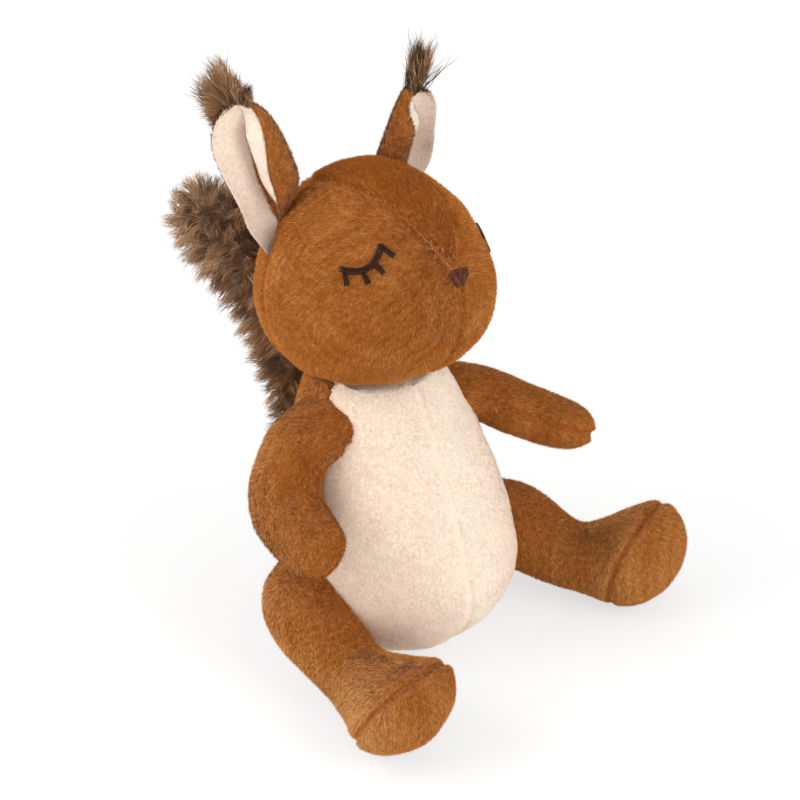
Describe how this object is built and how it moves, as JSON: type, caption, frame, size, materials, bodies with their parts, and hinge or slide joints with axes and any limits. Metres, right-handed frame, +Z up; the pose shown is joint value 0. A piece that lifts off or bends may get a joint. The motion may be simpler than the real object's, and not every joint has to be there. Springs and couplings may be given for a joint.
{
  "type": "plush squirrel",
  "caption": "Sitting plush squirrel with a round head, closed embroidered eyes, folded ears with fur tufts, a cream belly, soft arms and legs, and a tail of long fur.",
  "frame": {"origin": "middle of the flat base that the toy sits on", "axes": "+Z up through the body, -Y the way the chest and legs face, +X the toy's own left"},
  "size_m": [0.1642, 0.1919, 0.2173],
  "materials": {
    "brown_plush": "short velvety pile",
    "cream_plush": "short velvety pile",
    "taupe_fur": "long shaggy pile",
    "eye_thread": "satin stitch",
    "nose_thread": "satin stitch",
    "stuffing": "loose polyester fibre"
  },
  "bodies": {
    "root": {"head_forehead": "brown_plush", "head_cheek_left": "brown_plush", "head_cheek_right": "brown_plush", "head_back_left": "brown_plush", "head_back_right": "brown_plush", "head_filling": "stuffing", "ear_left_outer": "brown_plush", "ear_left_lining": "cream_plush", "ear_left_tuft": "taupe_fur", "ear_right_outer": "brown_plush", "ear_right_lining": "cream_plush", "ear_right_tuft": "taupe_fur", "eye_left": "eye_thread", "eye_right": "eye_thread", "nose": "nose_thread", "belly_left": "cream_plush", "belly_right": "cream_plush", "back_left": "brown_plush", "back_right": "brown_plush", "seat_base": "brown_plush", "body_filling": "stuffing", "arm_left_outer": "brown_plush", "arm_left_inner": "brown_plush", "arm_left_filling": "stuffing", "arm_right_outer": "brown_plush", "arm_right_inner": "brown_plush", "arm_right_filling": "stuffing", "leg_left_skin": "brown_plush", "leg_left_sole": "brown_plush", "leg_left_filling": "stuffing", "leg_right_skin": "brown_plush", "leg_right_sole": "brown_plush", "leg_right_filling": "stuffing", "tail_left": "taupe_fur", "tail_right": "taupe_fur", "tail_filling": "stuffing"}
  },
  "joints": []
}
